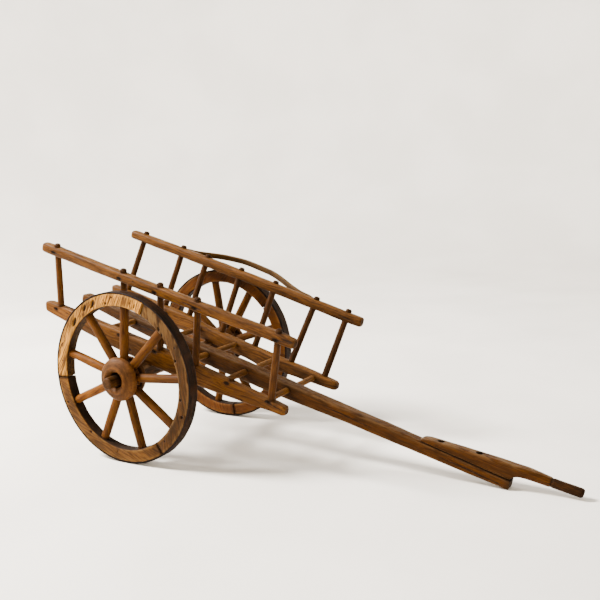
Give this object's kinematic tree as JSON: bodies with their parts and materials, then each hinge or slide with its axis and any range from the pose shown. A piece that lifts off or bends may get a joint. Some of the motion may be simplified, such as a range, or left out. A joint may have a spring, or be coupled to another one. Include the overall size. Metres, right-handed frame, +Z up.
{
  "type": "ladder-sided hand cart",
  "caption": "Small hay cart with ladder sides on a sloping bed, spoked wheels with iron tyres on a through axle, and a central draw pole ending in a turned grip.",
  "frame": {"origin": "on the floor, under the middle of the cart's box, with the cart resting on its wheels and the tip of its pole", "axes": "+X forwards along the pole, towards the grip; +Y to the cart's left; +Z up"},
  "size_m": [0.7771, 0.31, 0.3039],
  "materials": {
    "rail_wood": "old waxed wood, worn edges",
    "pole_wood": "old waxed wood, darker at the grip",
    "stake_wood": "old waxed wood, dark end grain",
    "axle_wood": "dark old wood",
    "bow_wood": "bent lath, worn",
    "rim_wood": "pale oak with strong grain and worm holes",
    "hub_wood": "turned and waxed",
    "spoke_wood": "round, waxed",
    "tyre_iron": "rusty dark band",
    "nail_iron": "blackened iron"
  },
  "bodies": {
    "frame": {"axle": "axle_wood", "axle_nails": "nail_iron", "bed_rung_1": "stake_wood", "bed_rung_2": "stake_wood", "bed_rung_3": "stake_wood", "bed_rung_4": "stake_wood", "bed_rung_5": "stake_wood", "bow_nails": "nail_iron", "draw_pole": "pole_wood", "handle": "pole_wood", "handle_nails": "nail_iron", "left_bottom_rail": "rail_wood", "left_stake_1": "stake_wood", "left_stake_2": "stake_wood", "left_stake_3": "stake_wood", "left_stake_4": "stake_wood", "left_stake_5": "stake_wood", "left_stake_6": "stake_wood", "left_stake_7": "stake_wood", "left_stake_nails": "nail_iron", "left_top_rail": "rail_wood", "right_bottom_rail": "rail_wood", "right_stake_1": "stake_wood", "right_stake_3": "stake_wood", "right_stake_4": "stake_wood", "right_stake_5": "stake_wood", "right_stake_7": "stake_wood", "right_stake_nails": "nail_iron", "right_top_rail": "rail_wood", "wheel_bow": "bow_wood"},
    "right_wheel": {"right_felloe_1": "rim_wood", "right_felloe_2": "rim_wood", "right_felloe_3": "rim_wood", "right_felloe_dowels": "spoke_wood", "right_hub": "hub_wood", "right_spoke_1": "spoke_wood", "right_spoke_2": "spoke_wood", "right_spoke_3": "spoke_wood", "right_spoke_4": "spoke_wood", "right_spoke_5": "spoke_wood", "right_spoke_6": "spoke_wood", "right_spoke_7": "spoke_wood", "right_spoke_8": "spoke_wood", "right_spoke_9": "spoke_wood", "right_tyre": "tyre_iron"},
    "left_wheel": {"left_felloe_1": "rim_wood", "left_felloe_2": "rim_wood", "left_felloe_3": "rim_wood", "left_felloe_dowels": "spoke_wood", "left_hub": "hub_wood", "left_spoke_1": "spoke_wood", "left_spoke_2": "spoke_wood", "left_spoke_3": "spoke_wood", "left_spoke_4": "spoke_wood", "left_spoke_5": "spoke_wood", "left_spoke_6": "spoke_wood", "left_spoke_7": "spoke_wood", "left_spoke_8": "spoke_wood", "left_spoke_9": "spoke_wood", "left_tyre": "tyre_iron"}
  },
  "joints": [
    {"name": "right_wheel_spin", "type": "hinge", "parent": "frame", "child": "right_wheel", "pos_m": [-0.19774, -0.1198, 0.12], "axis": [0, 1, 0], "continuous": true},
    {"name": "left_wheel_spin", "type": "hinge", "parent": "frame", "child": "left_wheel", "pos_m": [-0.19774, 0.1198, 0.12], "axis": [0, 1, 0], "continuous": true}
  ]
}
